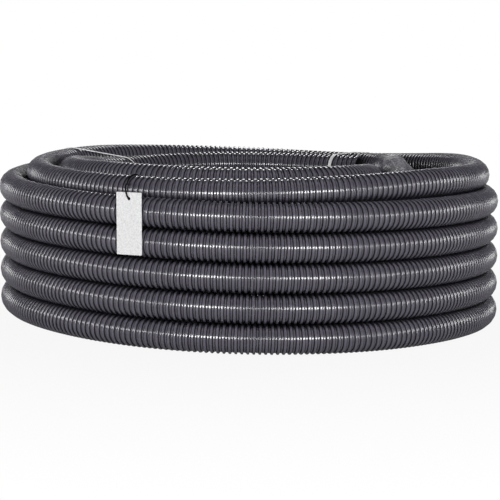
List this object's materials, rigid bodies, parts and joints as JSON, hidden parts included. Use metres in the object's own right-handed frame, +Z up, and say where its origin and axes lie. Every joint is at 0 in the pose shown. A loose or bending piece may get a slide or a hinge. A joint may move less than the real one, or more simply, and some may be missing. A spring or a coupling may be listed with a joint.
{
  "type": "coiled drain hose",
  "caption": "Long ribbed dark-grey waste-water hose wound into a round coil, tied with thin white straps and marked with a blank swing tag on a string",
  "frame": {"origin": "on the floor, at the axis of the coil", "axes": "X to the right and Z up as in the picture, with the front towards -Y"},
  "size_m": [0.8241, 0.821, 0.2792],
  "materials": {
    "hose": "satin",
    "strap": "satin",
    "string": "matte",
    "tag": "matte"
  },
  "bodies": {
    "coil": {"hose_coil": "hose", "hose_free_run": "hose", "hose_inner_end": "hose", "hose_outer_end": "hose", "right_strap": "strap", "left_strap": "strap", "tag_string": "string"},
    "tag": {"tag": "tag"}
  },
  "joints": [
    {"name": "tag_swing", "type": "hinge", "parent": "coil", "child": "tag", "pos_m": [-0.1767, -0.3755, 0.23762], "axis": [-0.4258, -0.9048, 0], "range_deg": [-40, 40]}
  ]
}
